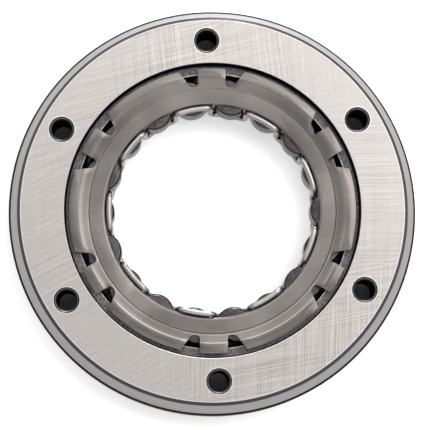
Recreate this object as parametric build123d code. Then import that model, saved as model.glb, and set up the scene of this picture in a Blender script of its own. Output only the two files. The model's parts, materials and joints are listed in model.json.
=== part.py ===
"""Sprag starter clutch: an outer race with a sheet-steel cage, 18 sprags and one wire retainer.

The clutch lies face up with the base of its outer race on Z = 0 and its axis on Z.
The hub that runs inside the sprags belongs to the starter gear and isn't part of this object.
"""
import os
from math import atan2, cos, degrees, hypot, radians, sin, sqrt, tan

from build123d import *

# Outer race: a forged and ground steel ring
race_height = 13.0
raceway_r = 34.5            # a 69 mm bore, the outer track of the common 8.33 mm sprag space
raceway_lead_in = 0.7
base_lead_in = 0.8
shelf_depth = 3.2           # counterbore for the cage flange, below the ground face
shelf_edge = 0.12           # broken edge between counterbore and ground face
face_width = 10.96          # ground face, from that edge to its outer chamfer
face_chamfer = 0.8
taper_run = 2.15            # how far the taper spreads towards the rim
rim_height = 7.5            # from the base up to where the taper ends
rim_chamfer = 0.35
base_chamfer = 0.6

# Tapped holes that take the screws of the flywheel
bolt_count = 6
bolt_inset = 5.78           # counterbore wall to bolt circle
bolt_hole_r = 2.6           # M6 thread, drawn at its core
bolt_countersink = 0.5
bolt_phase = 92.1           # degrees; the race stands a little round from the cage

# Sprags, measured across a section through the clutch
sprag_count = 18
sprag_phase = 101.0         # degrees; one of the sprags that the wire runs over
sprag_depth = 9.5           # raceway to the circle inside the sprags, with no hub in place
sprag_bottom = 1.6
head_gap = 0.2              # sprag head to raceway, closed when the hub goes in
inner_cam_rise = 1.93       # from the sprag's tip out to where its flanks begin
outer_cam_fall = 2.14       # from the top of the head in to its lower corner
cam_shift = 0.2             # inner cam's centre off the sprag's own centre line
cam_stagger = 1.55          # between the two cams' centres, across the sprag
sprag_shoulder = 0.1        # full width carried past the cage's bars
head_depth = 2.8            # from the head's end down to the waist
head_inset = 0.25           # head and waist, in from the full width
waist_inset = 0.75
sprag_edge = 0.5            # bevel round both end faces

# Cage: pressed from one sheet, a slotted skirt with a stepped flange
sheet = 0.8
tip_reach = 2.2             # how far the sprags reach in past the skirt
skirt_bottom = 0.3
ring_drop = 2.2             # top of the flat ring below the ground face
ring_width = 4.4
riser_width = 2.4
rim_drop = 0.8              # top of the flange's rim below the ground face
rim_width = 2.4
rim_fall = 0.25             # how much lower the rim's outer edge lies
flange_gap = 1.32           # flange to the counterbore's wall
skirt_bend = 0.45           # middle radii of the three bends
crease_bend = 0.6
flange_bend = 3.0
flange_corner = 0.35        # where the notches open through the rim
bar_width = 1.33            # skirt metal between two windows
window_side_gap = 0.35
window_gap = 0.15           # above and below a sprag
window_rail = 0.15          # skirt metal between a window and the flat ring
tab_count = 6
tab_phase = 90.5            # degrees
tab_half_width = 3.52
notch_stop = 0.1            # notch floor to the crease round the flat ring
notch_floor_width = 2.1
notch_flare = 37.0          # degrees; lean of the notch's far side
notch_near_corner = 1.0
notch_far_corner = 1.5

# Retainer: one round wire that weaves over and under the sprags
wire_r = 0.7
wire_gap = 0.1              # wire to skirt
wire_end_gap = 0.15         # wire to a sprag's end face
wire_bend = 1.6

# Shared by the cutting tools
overcut = 2.0               # how far a tool runs past the metal

# Radii, worked out from the raceway inwards to the sprags' tips and out again over the cage
tip_r = raceway_r - sprag_depth
skirt_r = tip_r + tip_reach             # inner face of the skirt
ring_outer_r = skirt_r + ring_width
flange_bend_r = ring_outer_r + riser_width
flange_r = flange_bend_r + rim_width
shelf_r = flange_r + flange_gap
face_r = shelf_r + shelf_edge + face_width
taper_r = face_r + face_chamfer
rim_r = taper_r + taper_run + rim_chamfer
bolt_circle_r = shelf_r + bolt_inset

# Heights
shelf = race_height - shelf_depth
ring_top = race_height - ring_drop
sprag_top = ring_top - sheet - window_rail - window_gap
sprag_length = sprag_top - sprag_bottom


def arc_radius(half_chord, rise):
    """Radius of the arc that rises this much over its chord."""
    return (half_chord ** 2 + rise ** 2) / (2 * rise)


# Sprag section
sprag_pitch = 360 / sprag_count
sprag_pivot_r = skirt_r + sheet / 2     # a sprag rocks between the cage's bars
window_half_width = sprag_pivot_r * tan(radians(sprag_pitch / 2)) - bar_width / 2
sprag_half_width = window_half_width - window_side_gap
head_half_width = sprag_half_width - head_inset
waist_half_width = sprag_half_width - waist_inset
outer_cam_x = cam_shift - cam_stagger
inner_cam_r = arc_radius(sprag_half_width, inner_cam_rise)
outer_cam_r = arc_radius(head_half_width - outer_cam_x, outer_cam_fall)
head_r = raceway_r - head_gap
neck_r = head_r - head_depth
inner_cam = (cam_shift, sqrt((tip_r + inner_cam_r) ** 2 - cam_shift ** 2))
outer_cam = (outer_cam_x, sqrt((head_r - outer_cam_r) ** 2 - outer_cam_x ** 2))


def around(count, start=0.0):
    """Directions of a pattern round the clutch's axis, in degrees."""
    return [start + 360 * index / count for index in range(count)]


def upright(angle):
    """Turns a shape drawn about the +Y axis so that it lies at this direction."""
    return Rot(0, 0, angle - 90)


def make_race():
    """The outer race, revolved, with its ring of countersunk holes."""
    section = make_face(Polyline(
        (raceway_r + base_lead_in, 0),
        (rim_r - base_chamfer, 0),
        (rim_r, base_chamfer),
        (rim_r, rim_height - rim_chamfer),
        (rim_r - rim_chamfer, rim_height),
        (taper_r, race_height - face_chamfer),
        (face_r, race_height),
        (shelf_r + shelf_edge, race_height),
        (shelf_r, race_height - shelf_edge),
        (shelf_r, shelf),
        (raceway_r + raceway_lead_in, shelf),
        (raceway_r, shelf - raceway_lead_in),
        (raceway_r, base_lead_in),
        close=True,
    ))
    race = revolve(Plane.XZ * section, Axis.Z)

    drill = Cylinder(bolt_hole_r, race_height, align=(Align.CENTER, Align.CENTER, Align.MIN))
    mouth = Cone(
        bolt_hole_r,
        bolt_hole_r + bolt_countersink,
        bolt_countersink,
        align=(Align.CENTER, Align.CENTER, Align.MAX),
    )
    tool = drill + Pos(0, 0, race_height) * mouth
    holes = [upright(angle) * Pos(0, bolt_circle_r, 0) * tool
             for angle in around(bolt_count, bolt_phase)]
    return race - holes


def cam_height(cam, cam_r, x, side):
    """Distance from the clutch's axis of a cam's arc at x; side is -1 for the inner cam."""
    return cam[1] + side * sqrt(cam_r ** 2 - (x - cam[0]) ** 2)


def sprag_flank(side):
    """One flank of a sprag, from the inner cam over the waist to the head."""
    x = side * sprag_half_width
    head_x = side * head_half_width
    foot = (x, cam_height(inner_cam, inner_cam_r, x, -1))
    shoulder = (x, sprag_pivot_r + sheet / 2 + sprag_shoulder)
    waist = (side * waist_half_width, (shoulder[1] + neck_r) / 2)
    neck = (head_x, neck_r)
    head = (head_x, cam_height(outer_cam, outer_cam_r, head_x, 1))
    return foot, head, [Line(foot, shoulder), ThreePointArc(shoulder, waist, neck), Line(neck, head)]


def make_sprag():
    """One sprag at its place on the +Y axis: two cams with a waist between them."""
    left_foot, left_head, left = sprag_flank(-1)
    right_foot, right_head, right = sprag_flank(1)
    inner_tip = (inner_cam[0], inner_cam[1] - inner_cam_r)
    outer_tip = (outer_cam[0], outer_cam[1] + outer_cam_r)
    section = make_face([
        *left,
        *right,
        ThreePointArc(left_foot, inner_tip, right_foot),
        ThreePointArc(left_head, outer_tip, right_head),
    ])
    body = Pos(0, 0, sprag_bottom) * extrude(section, sprag_length)
    ends = body.faces().sort_by(Axis.Z)
    return chamfer(ends[0].edges() + ends[-1].edges(), sprag_edge)


def make_cage():
    """The cage: sheet profile revolved, then windows and flange notches cut."""
    ring_mid = ring_top - sheet / 2
    rim_mid = race_height - rim_drop - sheet / 2
    line = FilletPolyline(
        (skirt_r + sheet / 2, skirt_bottom),
        (skirt_r + sheet / 2, ring_mid),
        (ring_outer_r, ring_mid),
        (flange_bend_r, rim_mid),
        (flange_r, rim_mid - rim_fall),
        radius=(skirt_bend, crease_bend, flange_bend),
    )
    cage = revolve(Plane.XZ * trace(line, sheet), Axis.Z)

    window = Pos(0, sprag_pivot_r, sprag_bottom - window_gap) * Box(
        2 * window_half_width,
        sheet + 2 * overcut,
        sprag_length + 2 * window_gap,
        align=(Align.CENTER, Align.CENTER, Align.MIN),
    )
    windows = [upright(angle) * window for angle in around(sprag_count, sprag_phase)]

    notch = make_notch()
    notches = [upright(angle) * part
               for angle in around(tab_count, tab_phase)
               for part in (notch, mirror(notch, Plane.YZ))]
    cage = cage - windows - notches
    mouths = cage.edges().filter_by(is_mouth_edge)
    return fillet(mouths, flange_corner)


def is_mouth_edge(edge):
    """True for the short upright edges where a notch opens through the flange's rim."""
    middle = edge @ 0.5
    return edge.length < 1.5 * sheet and abs(hypot(middle.X, middle.Y) - flange_r) < sheet / 4


def make_notch():
    """The cut beside one short tab: square to the tab, leaning away on its far side."""
    floor_r = ring_outer_r + notch_stop
    reach = flange_r + overcut
    far = tab_half_width + notch_floor_width
    spread = (reach - floor_r) * tan(radians(notch_flare))
    section = make_face(Polyline(
        (tab_half_width, reach),
        (tab_half_width, floor_r),
        (far, floor_r),
        (far + spread, reach),
        close=True,
    ))
    near_corner, far_corner = section.vertices().sort_by(Axis.Y)[:2].sort_by(Axis.X)
    section = fillet(near_corner, notch_near_corner)
    far_corner = section.vertices().sort_by_distance((far, floor_r))[0]
    section = fillet(far_corner, notch_far_corner)
    return Pos(0, 0, ring_top - sheet) * extrude(section, race_height)


def round_point(radius, angle, height):
    """A point from its distance off the axis, its direction in degrees and its height."""
    return Vector(radius * cos(radians(angle)), radius * sin(radians(angle)), height)


def wire_run(centre, height, bend_height):
    """One run of the wire along a sprag's end, with the bend at each of its ends."""
    run_r = skirt_r - wire_gap - wire_r
    leg_r = hypot(run_r, wire_bend)
    reach = sprag_pitch / 2 - degrees(atan2(wire_bend, run_r))
    along = Vector(0, 0, height - bend_height)
    first, last = [round_point(run_r, centre + side * reach, height) for side in (-1, 1)]
    middle = round_point(run_r, centre, height)
    bends = [
        TangentArc(round_point(leg_r, centre + side * sprag_pitch / 2, bend_height), end, tangent=along)
        for side, end in ((-1, first), (1, last))
    ]
    return [bends[0], ThreePointArc(first, middle, last), bends[1]]


def make_retainer():
    """The wire: over one sprag, down between two, under the next and up again."""
    top = sprag_top + wire_end_gap + wire_r
    bottom = sprag_bottom - wire_end_gap - wire_r
    high, low = top - wire_bend, bottom + wire_bend
    leg_r = hypot(skirt_r - wire_gap - wire_r, wire_bend)
    route = []
    for index, angle in enumerate(around(sprag_count, sprag_phase)):
        over = index % 2 == 0
        route += wire_run(angle, top, high) if over else wire_run(angle, bottom, low)
        leg_angle = angle + sprag_pitch / 2
        route.append(Line(round_point(leg_r, leg_angle, low), round_point(leg_r, leg_angle, high)))
    path = Wire(route)
    start = Plane(path @ 0, z_dir=path % 0)
    return sweep(start * Circle(wire_r), path=path)


def main():
    """Builds every piece and writes one file for each."""
    os.makedirs("parts", exist_ok=True)
    pieces = {"outer_race": make_race(), "sprag_cage": make_cage(), "wire_retainer": make_retainer()}
    sprag = make_sprag()
    for number, angle in enumerate(around(sprag_count, sprag_phase), start=1):
        pieces[f"sprag_{number:02d}"] = upright(angle) * sprag
    for name, piece in pieces.items():
        export_step(piece, f"parts/{name}.step")


main()
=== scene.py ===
import json
import math

import bmesh
import bpy
from mathutils import Matrix, Vector

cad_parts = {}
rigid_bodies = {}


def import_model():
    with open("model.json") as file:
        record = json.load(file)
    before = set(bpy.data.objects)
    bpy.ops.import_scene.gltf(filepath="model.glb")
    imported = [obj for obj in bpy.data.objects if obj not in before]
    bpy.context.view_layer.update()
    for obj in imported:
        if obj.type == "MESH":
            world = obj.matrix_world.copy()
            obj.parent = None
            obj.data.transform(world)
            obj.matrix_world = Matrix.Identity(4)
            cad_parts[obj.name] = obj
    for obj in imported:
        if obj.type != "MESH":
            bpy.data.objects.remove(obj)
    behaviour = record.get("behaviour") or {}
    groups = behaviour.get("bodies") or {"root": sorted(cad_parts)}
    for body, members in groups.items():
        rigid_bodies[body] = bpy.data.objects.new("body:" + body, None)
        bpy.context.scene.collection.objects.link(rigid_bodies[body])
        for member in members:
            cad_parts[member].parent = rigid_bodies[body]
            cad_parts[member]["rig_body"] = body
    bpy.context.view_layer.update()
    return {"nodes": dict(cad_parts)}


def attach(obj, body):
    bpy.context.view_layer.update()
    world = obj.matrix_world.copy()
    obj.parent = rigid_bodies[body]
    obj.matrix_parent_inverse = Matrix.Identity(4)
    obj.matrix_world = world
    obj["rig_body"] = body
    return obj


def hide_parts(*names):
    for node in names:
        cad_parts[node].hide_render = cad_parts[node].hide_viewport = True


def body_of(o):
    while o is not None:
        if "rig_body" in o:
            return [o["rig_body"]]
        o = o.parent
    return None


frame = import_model()
nodes = frame["nodes"]
mm = 0.001
markDepth = 0.02 * mm    # about how deep the fine marks on all the steel are
print("frame loaded:", len(nodes), "nodes")


def linearColour(hexText):
    # sRGB hex to the linear numbers that the shader sockets take, with an alpha of 1
    parts = [int(hexText[i:i + 2], 16) / 255 for i in (1, 3, 5)]
    return [p / 12.92 if p <= 0.04045 else ((p + 0.055) / 1.055) ** 2.4 for p in parts] + [1.0]


def addNode(tree, kind, settings=None, links=None):
    # keys of settings that name an input (or count to it) set that input, the others set the node itself
    node = tree.nodes.new(kind)
    inputs = {}
    for key, value in (settings or {}).items():
        if isinstance(key, int) or key in node.inputs:
            inputs[key] = value
        else:
            setattr(node, key, value)
    for key, value in inputs.items():
        node.inputs[key].default_value = value
    for key, source in (links or {}).items():
        tree.links.new(source, node.inputs[key])
    return node


def emptyTree(owner):
    # the node tree of a material or a world, with nothing in it yet
    owner.use_nodes = True
    owner.node_tree.nodes.clear()
    return owner.node_tree


def newMaterial(name, settings):
    # a material with a Principled shader; returns the material, its tree and the shader
    material = bpy.data.materials.new(name)
    tree = emptyTree(material)
    shader = addNode(tree, "ShaderNodeBsdfPrincipled", settings)
    addNode(tree, "ShaderNodeOutputMaterial", links={"Surface": shader.outputs["BSDF"]})
    return material, tree, shader


# Race: forged carbon steel, surface-ground on its faces and turned on its rim. The ground face mirrors
# the white surround through crossing scratches, the forged counterbore is dull, dark and mottled.
# Some rings of the race carry painted shade and painted highlights, as marked in the tables
race = {
    "top": 13.0,             # mm, ground face above the floor
    "boltRadius": 43.5,      # mm
    "boltPhase": 92.1,       # degrees from the X axis to the first hole
    "boltCount": 6,
    "face": "#9e9a97",
    "faceRough": 0.36,
    "bump": 0.35,
    # rings of the surface, from inside out: reach off the axis and height in mm, colour, roughness and
    # marks; a later ring covers an earlier one
    "rings": [
        ((34.0, 35.22), (0.0, 9.79), "#1f1c1e", 0.35, None),          # raceway, painted dark as shade in the narrow gap
        ((35.18, 37.3), (9.75, 9.85), "#605b5b", 0.6, "forged"),      # shelf under the cage
        ((35.18, 35.32), (9.75, 9.85), "#a39e98", 0.4, "forged"),     # its inner edge, a painted highlight
        ((37.3, 37.8), (9.75, 12.85), "#130e1c", 0.6, None),          # wall of the counterbore, painted dark as shade
        ((37.6, 37.88), (12.85, 13.05), "#b9b5b0", 0.6, None),        # inner edge of the ground face, a painted highlight
        ((48.62, 48.81), (12.95, 13.05), "#b9b5b0", 0.4, None),       # its outer edge, a painted highlight
        ((48.81, 49.72), (11.4, 12.99), "#454149", 0.22, "turned"),   # chamfer, painted dark as a shaded reflection
        ((49.72, 51.55), (7.8, 11.8), "#969492", 0.6, "turned"),      # taper
        ((51.5, 52.09), (7.1, 8.1), "#2c2633", 0.9, None),            # foot of the taper, painted dark as a shaded reflection
        ((52.05, 52.2), (0.6, 7.2), "#8b8783", 0.5, "turned"),        # outer wall
    ],
    # rings round a bolt hole, from outside in: reach off its own axis in mm, colour and roughness
    "holeRings": [
        (3.46, "#ccc8c3", 0.3),    # painted highlight round the rim on the face
        (3.29, "#2e2a2e", 0.4),    # rim of the countersink, painted dark as shade
        (2.98, "#746f6f", 0.5),    # lower edge of the countersink
        (2.74, "#171518", 0.6),    # core hole, painted dark as shade, threads too
    ],
    # grinding scratches: direction in degrees, width and length in mm, how strong, the place they are
    # strongest at and its reach in mm; real ones are 0.05 mm wide, these are as coarse as it takes to show
    "scratches": [
        {"turn": 97.0, "width": 0.15, "length": 22.0, "share": 0.26, "at": (4, 44), "reach": 27},
        {"turn": 16.0, "width": 0.17, "length": 13.0, "share": 0.20, "at": (-20, 40), "reach": 40},
        {"turn": 27.0, "width": 0.18, "length": 11.0, "share": 0.18, "at": (-38, -20), "reach": 40},
        {"turn": 31.0, "width": 0.15, "length": 7.0, "share": 0.12, "at": (-38, -28), "reach": 36},
        {"turn": 89.0, "width": 0.15, "length": 16.0, "share": 0.36, "at": (20, -40), "reach": 32},
        {"turn": 11.0, "width": 0.15, "length": 14.0, "share": 0.34, "at": (26, -36), "reach": 34},
        {"turn": 86.0, "width": 0.20, "length": 9.0, "share": 0.16, "at": (30, -28), "reach": 30},
        {"turn": 1.0, "width": 0.18, "length": 16.0, "share": 0.20, "at": (46, 2), "reach": 26},
    ],
    "scratchCells": 0.5,            # cells of noise in one scratch
    "scratchLimits": (0.34, 0.66),  # noise that gives the darkest and the lightest scratch
    "scratchFade": (0.5, 1.4),      # shares of the reach between which a set fades
    "scratchFar": 0.12,             # what is left of it further away
    "scratchShine": -0.2,           # a dark scratch is this much rougher, a light one smoother
    "patchCells": 0.09,             # cells of noise in 1 mm: a set comes and goes in patches 11 mm across
    "patchLimits": (0.35, 0.6),     # noise that gives the faintest and the strongest patch
    "patchFaint": 0.35,             # how strong a set still is between its patches
    "turnedPitch": 0.45,            # mm between the tool marks round the taper and the outer wall
    "turnedRound": 0.4,             # cells of noise in one radian, so a mark runs far round
    "turnedShare": 0.22,            # how strong the tool marks are
    "grain": 0.55,                  # mm across one spot of the forged skin
    "grainShare": (-0.6, 0.75),     # its darkest and its lightest spot
}


def groundScratches(tree, inMm, flat):
    # crossing scratches on the ground face, each set strongest round its own place
    everySet = None
    for scratch in race["scratches"]:
        turned = addNode(tree, "ShaderNodeMapping", {
            "Rotation": (0, 0, math.radians(-scratch["turn"])),
        }, {"Vector": inMm}).outputs[0]
        stretched = addNode(tree, "ShaderNodeVectorMath", {
            "operation": "MULTIPLY", 1: (1 / scratch["length"], 1 / scratch["width"], 1),
        }, {0: turned}).outputs[0]
        lines = addNode(tree, "ShaderNodeTexNoise", {
            "Scale": race["scratchCells"], "Detail": 3.0, "Roughness": 0.75,
        }, {"Vector": stretched}).outputs["Fac"]
        low, high = race["scratchLimits"]
        lines = addNode(tree, "ShaderNodeMapRange", {
            "From Min": low, "From Max": high, "To Min": -scratch["share"], "To Max": scratch["share"],
        }, {"Value": lines}).outputs[0]
        away = addNode(tree, "ShaderNodeVectorMath", {
            "operation": "DISTANCE", 1: (*scratch["at"], 0),
        }, {0: flat}).outputs["Value"]
        low, high = race["scratchFade"]
        near = addNode(tree, "ShaderNodeMapRange", {
            "interpolation_type": "SMOOTHSTEP",
            "From Min": low * scratch["reach"], "From Max": high * scratch["reach"],
            "To Min": 1.0, "To Max": race["scratchFar"],
        }, {"Value": away}).outputs[0]
        patches = addNode(tree, "ShaderNodeTexNoise", {
            "Scale": race["patchCells"], "Detail": 2.0,
        }, {"Vector": turned}).outputs["Fac"]
        low, high = race["patchLimits"]
        patches = addNode(tree, "ShaderNodeMapRange", {
            "From Min": low, "From Max": high, "To Min": race["patchFaint"], "To Max": 1.0,
        }, {"Value": patches}).outputs[0]
        here = addNode(tree, "ShaderNodeMath", {"operation": "MULTIPLY"}, {
            0: near, 1: patches,
        }).outputs[0]
        lines = addNode(tree, "ShaderNodeMath", {"operation": "MULTIPLY"}, {0: lines, 1: here}).outputs[0]
        everySet = lines if everySet is None else addNode(tree, "ShaderNodeMath", {
            "operation": "ADD",
        }, {0: everySet, 1: lines}).outputs[0]
    return everySet


def turnedMarks(tree, off, up, angle):
    # tool marks that run round the chamfer, the taper and the outer wall
    around = addNode(tree, "ShaderNodeCombineXYZ", links={"X": off, "Y": up, "Z": angle}).outputs[0]
    cells = 1 / race["turnedPitch"]
    around = addNode(tree, "ShaderNodeVectorMath", {
        "operation": "MULTIPLY", 1: (cells, cells, race["turnedRound"]),
    }, {0: around}).outputs[0]
    lines = addNode(tree, "ShaderNodeTexNoise", {
        "Scale": 1.0, "Detail": 3.0, "Roughness": 0.7,
    }, {"Vector": around}).outputs["Fac"]
    share = race["turnedShare"]
    return addNode(tree, "ShaderNodeMapRange", {
        "From Min": 0.3, "From Max": 0.7, "To Min": -share, "To Max": share,
    }, {"Value": lines}).outputs[0]


def forgedSpots(tree, inMm):
    # spots of the forged skin in the counterbore
    spots = addNode(tree, "ShaderNodeTexNoise", {
        "Scale": 1 / race["grain"], "Detail": 5.0, "Roughness": 0.75,
    }, {"Vector": inMm}).outputs["Fac"]
    low, high = race["grainShare"]
    return addNode(tree, "ShaderNodeMapRange", {
        "From Min": 0.35, "From Max": 0.65, "To Min": low, "To Max": high,
    }, {"Value": spots}).outputs[0]


def awayFromHole(tree, off, angle):
    # mm off the axis of the nearest bolt hole: the angle is folded into one hole's share of the circle
    sector = 2 * math.pi / race["boltCount"]
    fold = addNode(tree, "ShaderNodeMath", {
        "operation": "SUBTRACT", 1: math.radians(race["boltPhase"]) - sector / 2,
    }, {0: angle}).outputs[0]
    fold = addNode(tree, "ShaderNodeMath", {
        "operation": "FLOORED_MODULO", 1: sector,
    }, {0: fold}).outputs[0]
    fold = addNode(tree, "ShaderNodeMath", {"operation": "SUBTRACT", 1: sector / 2}, {0: fold}).outputs[0]
    sine = addNode(tree, "ShaderNodeMath", {"operation": "SINE"}, {0: fold}).outputs[0]
    cosine = addNode(tree, "ShaderNodeMath", {"operation": "COSINE"}, {0: fold}).outputs[0]
    unit = addNode(tree, "ShaderNodeCombineXYZ", links={"X": cosine, "Y": sine}).outputs[0]
    folded = addNode(tree, "ShaderNodeVectorMath", {"operation": "SCALE"}, {
        0: unit, "Scale": off,
    }).outputs[0]
    return addNode(tree, "ShaderNodeVectorMath", {
        "operation": "DISTANCE", 1: (race["boltRadius"], 0, 0),
    }, {0: folded}).outputs["Value"]


def raceMaterial():
    material, tree, shader = newMaterial("ground_steel", {"Metallic": 1.0})
    place = addNode(tree, "ShaderNodeTexCoord").outputs["Object"]
    inMm = addNode(tree, "ShaderNodeVectorMath", {
        "operation": "SCALE", "Scale": 1 / mm,
    }, {0: place}).outputs[0]
    axes = addNode(tree, "ShaderNodeSeparateXYZ", links={0: inMm}).outputs
    flat = addNode(tree, "ShaderNodeCombineXYZ", links={"X": axes["X"], "Y": axes["Y"]}).outputs[0]
    off = addNode(tree, "ShaderNodeVectorMath", {"operation": "LENGTH"}, {0: flat}).outputs["Value"]
    angle = addNode(tree, "ShaderNodeMath", {"operation": "ARCTAN2"}, {
        0: axes["Y"], 1: axes["X"],
    }).outputs[0]
    scratches = groundScratches(tree, inMm, flat)
    marksOf = {
        "turned": turnedMarks(tree, off, axes["Z"], angle),
        "forged": forgedSpots(tree, inMm),
    }

    # the ground face lies below, then each ring puts its own colour, roughness and marks over it; some of
    # these colours are painted shade and painted highlights
    colour = addNode(tree, "ShaderNodeMix", {
        "data_type": "RGBA", 0: 0.0, 6: linearColour(race["face"]),
    }).outputs[2]
    rough = addNode(tree, "ShaderNodeMath", {
        "operation": "MULTIPLY_ADD", 1: race["scratchShine"], 2: race["faceRough"],
    }, {0: scratches}).outputs[0]
    marks = scratches
    for reach, height, hexText, shine, kind in race["rings"]:
        masks = []
        for value, (low, high) in ((off, reach), (axes["Z"], height)):
            masks.append(addNode(tree, "ShaderNodeMath", {
                "operation": "COMPARE", 1: (low + high) / 2, 2: (high - low) / 2,
            }, {0: value}).outputs[0])
        inside = addNode(tree, "ShaderNodeMath", {"operation": "MULTIPLY"}, {
            0: masks[0], 1: masks[1],
        }).outputs[0]
        colour = addNode(tree, "ShaderNodeMix", {
            "data_type": "RGBA", 7: linearColour(hexText),
        }, {0: inside, 6: colour}).outputs[2]
        rough = addNode(tree, "ShaderNodeMix", {3: shine}, {0: inside, 2: rough}).outputs[0]
        own = {3: marksOf[kind]} if kind else {}
        marks = addNode(tree, "ShaderNodeMix", {3: 0.0}, {0: inside, 2: marks, **own}).outputs[0]
    fromHole = awayFromHole(tree, off, angle)
    # the painted highlight round the rim, then the painted shade of the countersink and the core hole
    for reach, hexText, shine in race["holeRings"]:
        inside = addNode(tree, "ShaderNodeMath", {
            "operation": "LESS_THAN", 1: reach,
        }, {0: fromHole}).outputs[0]
        colour = addNode(tree, "ShaderNodeMix", {
            "data_type": "RGBA", 7: linearColour(hexText),
        }, {0: inside, 6: colour}).outputs[2]
        rough = addNode(tree, "ShaderNodeMix", {3: shine}, {0: inside, 2: rough}).outputs[0]

    gain = addNode(tree, "ShaderNodeMath", {"operation": "ADD", 1: 1.0}, {0: marks}).outputs[0]
    colour = addNode(tree, "ShaderNodeVectorMath", {"operation": "SCALE"}, {
        0: colour, "Scale": gain,
    }).outputs[0]
    tree.links.new(colour, shader.inputs["Base Color"])
    tree.links.new(rough, shader.inputs["Roughness"])
    bump = addNode(tree, "ShaderNodeBump", {
        "Strength": race["bump"], "Distance": markDepth,
    }, {"Height": marks})
    tree.links.new(bump.outputs[0], shader.inputs["Normal"])
    return material


# Cage: cold-rolled sheet, pressed and lightly tumbled: smooth, dull grey, cloudy in broad soft patches
cage = {
    "dark": "#615d5b",
    "middle": "#686461",
    "light": "#706c69",
    "stops": (0.42, 0.58, 0.74),    # noise at which the three shades lie
    "rough": (0.31, 0.4),
    "bump": 0.12,
    "cloud": 14.0,        # mm across one soft patch
    "grain": 0.5,         # mm, fine marks of the tumbling
    "grainShare": 0.15,   # how strongly they tint the patches
    "cut": "#aca7a3",     # the cut edges, rubbed bright and lightened further as painted highlight
    "edge": 0.13,         # mm, rounding of the cut edges
    # painted shade and painted highlights round the crease and the bend, each strong on one side: reach
    # off the axis in mm, how light, and the stretch along Y over which each one fades
    "paintedBendShading": [
        {"off": (31.3, 31.6), "light": 0.35, "fade": (0.0, 30.0)},
        {"off": (31.6, 31.86), "light": 1.35, "fade": (0.0, 30.0)},
        {"off": (32.0, 33.7), "light": 0.86, "fade": (-26.0, 4.0)},
        {"off": (33.74, 33.98), "light": 1.7, "fade": (-30.0, -6.0)},
        {"off": (34.0, 37.0), "light": 0.74, "fade": (-26.0, 4.0)},
        {"off": (34.3, 34.55), "light": 1.3, "fade": (36.0, 24.0)},
    ],
    "paintedBendFaded": 0.15,     # what is left of such a ring past its stretch
}


def cageMaterial():
    material, tree, shader = newMaterial("pressed_sheet_steel", {"Metallic": 1.0})
    place = addNode(tree, "ShaderNodeTexCoord").outputs["Object"]
    clouds = addNode(tree, "ShaderNodeTexNoise", {
        "Scale": 1 / (cage["cloud"] * mm), "Detail": 3.0, "Roughness": 0.5,
    }, {"Vector": place}).outputs["Fac"]
    fine = addNode(tree, "ShaderNodeTexNoise", {
        "Scale": 1 / (cage["grain"] * mm), "Detail": 3.0,
    }, {"Vector": place}).outputs["Fac"]
    both = addNode(tree, "ShaderNodeMath", {
        "operation": "MULTIPLY_ADD", 1: cage["grainShare"],
    }, {0: fine, 2: clouds}).outputs[0]
    ramp = addNode(tree, "ShaderNodeValToRGB", links={"Fac": both})
    stops = ramp.color_ramp.elements
    first, between, last = cage["stops"]
    stops[0].position, stops[0].color = first, linearColour(cage["dark"])
    stops[1].position, stops[1].color = last, linearColour(cage["light"])
    stops.new(between).color = linearColour(cage["middle"])

    flat = addNode(tree, "ShaderNodeVectorMath", {
        "operation": "MULTIPLY", 1: (1, 1, 0),
    }, {0: place}).outputs[0]
    off = addNode(tree, "ShaderNodeVectorMath", {"operation": "LENGTH"}, {0: flat}).outputs["Value"]
    axes = addNode(tree, "ShaderNodeSeparateXYZ", links={0: place}).outputs
    gain = None
    # painted shade and painted highlights along the crease and the bend, each strong on one side and faded
    # along Y
    for paintedBendBand in cage["paintedBendShading"]:
        low, high = paintedBendBand["fade"]
        strong = addNode(tree, "ShaderNodeMapRange", {
            "From Min": low * mm, "From Max": high * mm, "To Min": 1.0, "To Max": cage["paintedBendFaded"],
        }, {"Value": axes["Y"]}).outputs[0]
        low, high = paintedBendBand["off"]
        line = addNode(tree, "ShaderNodeMath", {
            "operation": "COMPARE", 1: (low + high) / 2 * mm, 2: (high - low) / 2 * mm,
        }, {0: off}).outputs[0]
        line = addNode(tree, "ShaderNodeMath", {"operation": "MULTIPLY"}, {0: line, 1: strong}).outputs[0]
        before = {} if gain is None else {2: gain}
        gain = addNode(tree, "ShaderNodeMix", {2: 1.0, 3: paintedBendBand["light"]}, {
            0: line, **before,
        }).outputs[0]
    colour = addNode(tree, "ShaderNodeVectorMath", {"operation": "SCALE"}, {
        0: ramp.outputs["Color"], "Scale": gain,
    })
    tree.links.new(colour.outputs[0], shader.inputs["Base Color"])
    low, high = cage["rough"]
    rough = addNode(tree, "ShaderNodeMapRange", {
        "From Min": 0.3, "From Max": 0.7, "To Min": low, "To Max": high,
    }, {"Value": clouds})
    tree.links.new(rough.outputs[0], shader.inputs["Roughness"])
    bump = addNode(tree, "ShaderNodeBump", {
        "Strength": cage["bump"], "Distance": markDepth,
    }, {"Height": fine})
    tree.links.new(bump.outputs[0], shader.inputs["Normal"])
    return material


# Sprags: drawn bearing steel, hardened and tumbled: dark, even, a little warm, with polished edges
# lightened further as painted highlight
sprags = {
    "dark": "#3b3739",
    "light": "#4c484a",
    "stops": (0.35, 0.65),    # noise at which the two shades lie
    "rough": (0.28, 0.4),
    "bump": 0.15,
    "grain": 0.9,         # mm across one spot
    "rubbedAndHighlit": "#cbc6c3",  # the polished edges, lightened further as painted highlight
    "edge": 0.3,          # mm, their rounding
}


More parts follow.
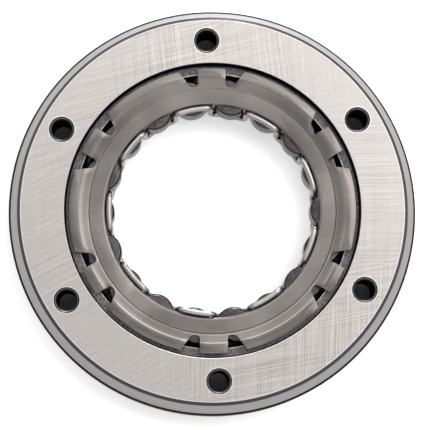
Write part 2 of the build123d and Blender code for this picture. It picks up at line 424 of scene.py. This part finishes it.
def spragMaterial():
    material, tree, shader = newMaterial("tumbled_bearing_steel", {"Metallic": 1.0})
    place = addNode(tree, "ShaderNodeTexCoord").outputs["Object"]
    grain = addNode(tree, "ShaderNodeTexNoise", {
        "Scale": 1 / (sprags["grain"] * mm), "Detail": 4.0, "Roughness": 0.6,
    }, {"Vector": place}).outputs["Fac"]
    ramp = addNode(tree, "ShaderNodeValToRGB", links={"Fac": grain})
    stops = ramp.color_ramp.elements
    for stop, position, shade in zip(stops, sprags["stops"], ("dark", "light")):
        stop.position, stop.color = position, linearColour(sprags[shade])
    tree.links.new(ramp.outputs["Color"], shader.inputs["Base Color"])
    low, high = sprags["rough"]
    rough = addNode(tree, "ShaderNodeMapRange", {
        "From Min": 0.3, "From Max": 0.7, "To Min": low, "To Max": high,
    }, {"Value": grain})
    tree.links.new(rough.outputs[0], shader.inputs["Roughness"])
    bump = addNode(tree, "ShaderNodeBump", {
        "Strength": sprags["bump"], "Distance": markDepth,
    }, {"Height": grain})
    tree.links.new(bump.outputs[0], shader.inputs["Normal"])
    return material


# Retainer: hard-drawn spring wire, bright and smooth: nearly white where it meets a lamp, a little cloudy
wire = {
    "dark": "#878384",
    "light": "#989594",
    "rough": 0.28,
    "grain": 2.0,         # mm across one cloud
}


def wireMaterial():
    material, tree, shader = newMaterial("bright_spring_wire", {
        "Metallic": 1.0, "Roughness": wire["rough"],
    })
    place = addNode(tree, "ShaderNodeTexCoord").outputs["Object"]
    grain = addNode(tree, "ShaderNodeTexNoise", {
        "Scale": 1 / (wire["grain"] * mm), "Detail": 3.0,
    }, {"Vector": place}).outputs["Fac"]
    tint = addNode(tree, "ShaderNodeMix", {
        "data_type": "RGBA", 6: linearColour(wire["dark"]), 7: linearColour(wire["light"]),
    }, {0: grain})
    tree.links.new(tint.outputs[2], shader.inputs["Base Color"])
    return material


# Rubbed edges: bare bright metal, lightened further as painted highlight, in a shade that wanders a little
# along the edge
rubbedAndHighlit = {
    "rough": 0.32,
    "wander": 1.5,        # mm over which the shade changes
    "gain": (0.6, 1.3),   # its darkest and its lightest
}


def rubbedHighlightMaterial(name, hexText):
    material, tree, shader = newMaterial(name, {"Metallic": 1.0, "Roughness": rubbedAndHighlit["rough"]})
    place = addNode(tree, "ShaderNodeTexCoord").outputs["Object"]
    wander = addNode(tree, "ShaderNodeTexNoise", {
        "Scale": 1 / (rubbedAndHighlit["wander"] * mm), "Detail": 2.0,
    }, {"Vector": place})
    low, high = rubbedAndHighlit["gain"]
    gain = addNode(tree, "ShaderNodeMapRange", {"To Min": low, "To Max": high}, {
        "Value": wander.outputs["Fac"],
    })
    tint = addNode(tree, "ShaderNodeVectorMath", {
        "operation": "SCALE", 0: linearColour(hexText)[:3],
    }, {"Scale": gain.outputs[0]})
    tree.links.new(tint.outputs[0], shader.inputs["Base Color"])
    return material


groundSteel = raceMaterial()
sheetSteel = [cageMaterial(), rubbedHighlightMaterial("cut_highlit_sheet_edge", cage["cut"])]
spragSteel = [spragMaterial(), rubbedHighlightMaterial("rubbed_highlit_sprag_edge", sprags["rubbedAndHighlit"])]
springWire = wireMaterial()
print("materials made")

rounding = {
    "merge": 0.002,       # mm, corners closer than this are one
    "flat": 0.6,          # degrees, faces that bend less are joined
    "sharp": 32,          # degrees, edges that bend more are rounded
    "segments": 2,
}


def roundEdges(node, width, finishes):
    # a smooth copy of a CAD node, which stands for it; a width, in mm, rounds its sharp edges
    shape = bmesh.new()
    shape.from_mesh(node.data)
    bmesh.ops.remove_doubles(shape, verts=shape.verts, dist=rounding["merge"] * mm)
    bmesh.ops.dissolve_limit(shape, angle_limit=math.radians(rounding["flat"]),
                             verts=shape.verts, edges=shape.edges)
    mesh = bpy.data.meshes.new(node.name + "_rounded")
    shape.to_mesh(mesh)
    shape.free()
    for finish in finishes:
        mesh.materials.append(finish)
    mesh.polygons.foreach_set("material_index", [0] * len(mesh.polygons))
    mesh.polygons.foreach_set("use_smooth", [True] * len(mesh.polygons))
    obj = bpy.data.objects.new(mesh.name, mesh)
    bpy.context.scene.collection.objects.link(obj)
    if width:
        bevel = obj.modifiers.new("edges", "BEVEL")
        bevel.width = width * mm
        bevel.segments = rounding["segments"]
        bevel.material = 1    # the rubbed finish with its painted highlight
        bevel.limit_method = "ANGLE"
        bevel.angle_limit = math.radians(rounding["sharp"])
        bevel.harden_normals = True
    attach(obj, body_of(node)[0])
    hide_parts(node.name)
    return obj


nodes["outer_race"].material_slots[0].material = groundSteel
roundEdges(nodes["wire_retainer"], 0.0, [springWire])
roundEdges(nodes["sprag_cage"], cage["edge"], sheetSteel)
for name in sorted(nodes):
    if name.startswith("sprag_") and name != "sprag_cage":
        roundEdges(nodes[name], sprags["edge"], spragSteel)
print("edges rounded")

# Threads: one ridge winds down the wall of each bolt hole
threads = {
    "pitch": 1.0,         # mm, M6 coarse
    "wallRadius": 2.6,    # mm, core hole
    "crest": 0.14,        # mm that the ridge stands out of the wall
    "sunk": 0.16,         # mm that its back lies in the wall
    "flank": 0.34,        # mm, half the ridge's width at its middle
    "bottom": 0.5,        # mm above the floor
    "top": 11.9,
    "steps": 30,          # points in one turn
    "corners": 4,         # of the ridge's section
}


def makeThreads():
    tree = bpy.data.node_groups.new("threads", "GeometryNodeTree")
    tree.interface.new_socket("Geometry", in_out="OUTPUT", socket_type="NodeSocketGeometry")
    values = {
        "Holes": race["boltCount"],
        "Steps": threads["steps"],
        "Bolt circle": race["boltRadius"] * mm,
        "First hole": math.radians(race["boltPhase"]),
        "Turns": (threads["top"] - threads["bottom"]) / threads["pitch"],
        "Height": (threads["top"] - threads["bottom"]) * mm,
        "Bottom": threads["bottom"] * mm,
        "Radius": (threads["wallRadius"] + (threads["sunk"] - threads["crest"]) / 2) * mm,
        "Depth": (threads["sunk"] + threads["crest"]) / 2 * mm,
        "Flank": threads["flank"] * mm,
    }
    sockets = {}
    for name, value in values.items():
        kind = "NodeSocketInt" if isinstance(value, int) else "NodeSocketFloat"
        sockets[name] = tree.interface.new_socket(name, in_out="INPUT", socket_type=kind).identifier
    given = addNode(tree, "NodeGroupInput").outputs

    # the ridge: a four-cornered section swept down a helix
    helix = addNode(tree, "GeometryNodeCurveSpiral", links={
        "Resolution": given["Steps"], "Rotations": given["Turns"], "Height": given["Height"],
        "Start Radius": given["Radius"], "End Radius": given["Radius"],
    }).outputs[0]
    helix = addNode(tree, "GeometryNodeSetCurveNormal", {"mode": "Z_UP"}, {0: helix}).outputs[0]
    ridge = addNode(tree, "GeometryNodeCurvePrimitiveCircle", {
        "Resolution": threads["corners"], "Radius": 1.0,
    }).outputs[0]
    ridgeSize = addNode(tree, "ShaderNodeCombineXYZ", {"Z": 1.0}, {
        "X": given["Depth"], "Y": given["Flank"],
    }).outputs[0]
    ridge = addNode(tree, "GeometryNodeTransform", links={0: ridge, "Scale": ridgeSize}).outputs[0]
    ridge = addNode(tree, "GeometryNodeCurveToMesh", {"Fill Caps": True}, {
        0: helix, 1: ridge,
    }).outputs[0]

    # a copy of it in each hole
    index = addNode(tree, "GeometryNodeInputIndex").outputs[0]
    share = addNode(tree, "ShaderNodeMath", {"operation": "DIVIDE"}, {
        0: index, 1: given["Holes"],
    }).outputs[0]
    turn = addNode(tree, "ShaderNodeMath", {
        "operation": "MULTIPLY_ADD", 1: 2 * math.pi,
    }, {0: share, 2: given["First hole"]}).outputs[0]
    cosine = addNode(tree, "ShaderNodeMath", {"operation": "COSINE"}, {0: turn}).outputs[0]
    sine = addNode(tree, "ShaderNodeMath", {"operation": "SINE"}, {0: turn}).outputs[0]
    outwards = addNode(tree, "ShaderNodeCombineXYZ", links={"X": cosine, "Y": sine}).outputs[0]
    outwards = addNode(tree, "ShaderNodeVectorMath", {"operation": "SCALE"}, {
        0: outwards, "Scale": given["Bolt circle"],
    }).outputs[0]
    lift = addNode(tree, "ShaderNodeCombineXYZ", links={"Z": given["Bottom"]}).outputs[0]
    spot = addNode(tree, "ShaderNodeVectorMath", {"operation": "ADD"}, {0: outwards, 1: lift}).outputs[0]
    spots = addNode(tree, "GeometryNodePoints", links={
        "Count": given["Holes"], "Position": spot,
    }).outputs[0]
    copies = addNode(tree, "GeometryNodeInstanceOnPoints", links={
        "Points": spots, "Instance": ridge,
    }).outputs[0]
    real = addNode(tree, "GeometryNodeRealizeInstances", links={0: copies}).outputs[0]
    # the threads take the ground steel, so the core hole's painted shade darkens them too
    finished = addNode(tree, "GeometryNodeSetMaterial", {"Material": groundSteel}, {
        "Geometry": real,
    }).outputs[0]
    addNode(tree, "NodeGroupOutput", links={0: finished})

    # the result as a plain mesh
    base = bpy.data.objects.new("thread_base", bpy.data.meshes.new("thread_base"))
    bpy.context.scene.collection.objects.link(base)
    modifier = base.modifiers.new("threads", "NODES")
    modifier.node_group = tree
    for name, value in values.items():
        modifier[sockets[name]] = value
    graph = bpy.context.evaluated_depsgraph_get()
    mesh = bpy.data.meshes.new_from_object(base.evaluated_get(graph))
    base.modifiers.clear()
    bpy.data.objects.remove(base)
    mesh.name = "bolt_threads"
    obj = bpy.data.objects.new("bolt_threads", mesh)
    bpy.context.scene.collection.objects.link(obj)
    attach(obj, body_of(nodes["outer_race"])[0])
    return obj


print("threads made:", len(makeThreads().data.polygons), "faces")

# Floor: plain white board; no light gets round to it under the race, so it doesn't glow there
floor = {
    "size": 4.0,              # m
    "colour": "#f2f2f2",
    "glow": 0.38,             # for the camera and for reflections only
    "shade": (33.0, 51.0),    # mm off the axis, the ring under the race
}


def makeFloor():
    half = floor["size"] / 2
    corners = [(-half, -half, 0), (half, -half, 0), (half, half, 0), (-half, half, 0)]
    mesh = bpy.data.meshes.new("floor")
    mesh.from_pydata(corners, [], [(0, 1, 2, 3)])
    obj = bpy.data.objects.new("floor", mesh)
    bpy.context.scene.collection.objects.link(obj)
    material = bpy.data.materials.new("white_board")
    tree = emptyTree(material)
    matt = addNode(tree, "ShaderNodeBsdfDiffuse", {"Color": linearColour(floor["colour"])})
    path = addNode(tree, "ShaderNodeLightPath").outputs
    seen = addNode(tree, "ShaderNodeMath", {"operation": "MAXIMUM"}, {
        0: path["Is Camera Ray"], 1: path["Is Glossy Ray"],
    }).outputs[0]
    place = addNode(tree, "ShaderNodeTexCoord").outputs["Object"]
    off = addNode(tree, "ShaderNodeVectorMath", {"operation": "LENGTH"}, {0: place}).outputs["Value"]
    low, high = floor["shade"]
    under = addNode(tree, "ShaderNodeMath", {
        "operation": "COMPARE", 1: (low + high) / 2 * mm, 2: (high - low) / 2 * mm,
    }, {0: off}).outputs[0]
    unshaded = addNode(tree, "ShaderNodeMath", {"operation": "SUBTRACT", 0: 1.0}, {1: under}).outputs[0]
    strength = addNode(tree, "ShaderNodeMath", {"operation": "MULTIPLY"}, {
        0: seen, 1: unshaded,
    }).outputs[0]
    strength = addNode(tree, "ShaderNodeMath", {
        "operation": "MULTIPLY", 1: floor["glow"],
    }, {0: strength}).outputs[0]
    glow = addNode(tree, "ShaderNodeEmission", {"Color": (1, 1, 1, 1)}, {"Strength": strength})
    both = addNode(tree, "ShaderNodeAddShader", links={0: matt.outputs[0], 1: glow.outputs[0]})
    addNode(tree, "ShaderNodeOutputMaterial", links={"Surface": both.outputs[0]})
    obj.data.materials.append(material)


makeFloor()

# Studio: white surround, a broad soft key over the far right and a broader lamp over the far left, weak
# ones behind, in front and at the right, and a small low one that only grazes the far side of the taper.
# Each lamp points at the middle of the floor; place and size in m.
studio = {
    "ambient": 0.32,
    "lamps": [
        {"name": "key", "place": (0.47, 0.33, 0.78), "size": 0.75, "watts": 5.5},
        {"name": "back", "place": (0.10, 0.60, 0.62), "size": 0.50, "watts": 0.3},
        {"name": "low", "place": (0.08, 0.75, 0.06), "size": 0.10, "watts": 5.6},
        {"name": "front", "place": (0.08, -0.50, 0.70), "size": 0.70, "watts": 1.7},
        {"name": "left", "place": (-0.28, 0.54, 0.73), "size": 0.90, "watts": 3.6},
        {"name": "right", "place": (0.65, 0.00, 0.60), "size": 0.50, "watts": 0.6},
    ],
}


def makeStudio():
    world = bpy.data.worlds.new("studio")
    bpy.context.scene.world = world
    tree = emptyTree(world)
    path = addNode(tree, "ShaderNodeLightPath").outputs
    seen = addNode(tree, "ShaderNodeMath", {"operation": "MAXIMUM"}, {
        0: path["Is Camera Ray"], 1: path["Is Glossy Ray"],
    }).outputs[0]
    seen = addNode(tree, "ShaderNodeMath", {"operation": "MAXIMUM"}, {
        0: seen, 1: path["Is Transmission Ray"],
    }).outputs[0]
    strength = addNode(tree, "ShaderNodeMapRange", {
        "To Min": studio["ambient"], "To Max": 1.0,
    }, {"Value": seen}).outputs[0]
    sky = addNode(tree, "ShaderNodeBackground", {"Color": (1, 1, 1, 1)}, {"Strength": strength})
    addNode(tree, "ShaderNodeOutputWorld", links={"Surface": sky.outputs[0]})
    for lamp in studio["lamps"]:
        light = bpy.data.lights.new(lamp["name"], "AREA")
        light.shape = "DISK"
        light.size = lamp["size"]
        light.energy = lamp["watts"]
        obj = bpy.data.objects.new(lamp["name"], light)
        bpy.context.scene.collection.objects.link(obj)
        obj.location = lamp["place"]
        obj.rotation_euler = Vector(lamp["place"]).to_track_quat("Z", "Y").to_euler()


makeStudio()

# Camera: almost straight down, leaning towards the near side
view = {
    "target": (0.531, -1.455),    # mm, the point of the ground face that it looks at
    "lean": 6.667,                # degrees from straight down
    "turn": 12.0,                 # degrees, which way it leans
    "distance": 545.7,            # mm
    "lens": 180.31,               # mm
    "sensor": 36.0,               # mm
    "clip": 0.01,                 # m
}


def makeCamera():
    lean, turn = math.radians(view["lean"]), math.radians(view["turn"])
    back = Vector((-math.sin(lean) * math.sin(turn), -math.sin(lean) * math.cos(turn), math.cos(lean)))
    side = Vector((0, 1, 0)).cross(back).normalized()
    up = back.cross(side)
    place = Vector((*view["target"], race["top"])) * mm + back * view["distance"] * mm
    camera = bpy.data.cameras.new("camera")
    camera.lens = view["lens"]
    camera.sensor_width = view["sensor"]
    camera.clip_start = view["clip"]
    obj = bpy.data.objects.new("camera", camera)
    bpy.context.scene.collection.objects.link(obj)
    obj.matrix_world = Matrix.Translation(place) @ Matrix((side, up, back)).transposed().to_4x4()
    bpy.context.scene.camera = obj


makeCamera()
bpy.context.scene.view_settings.view_transform = "Standard"
print("studio and camera made")
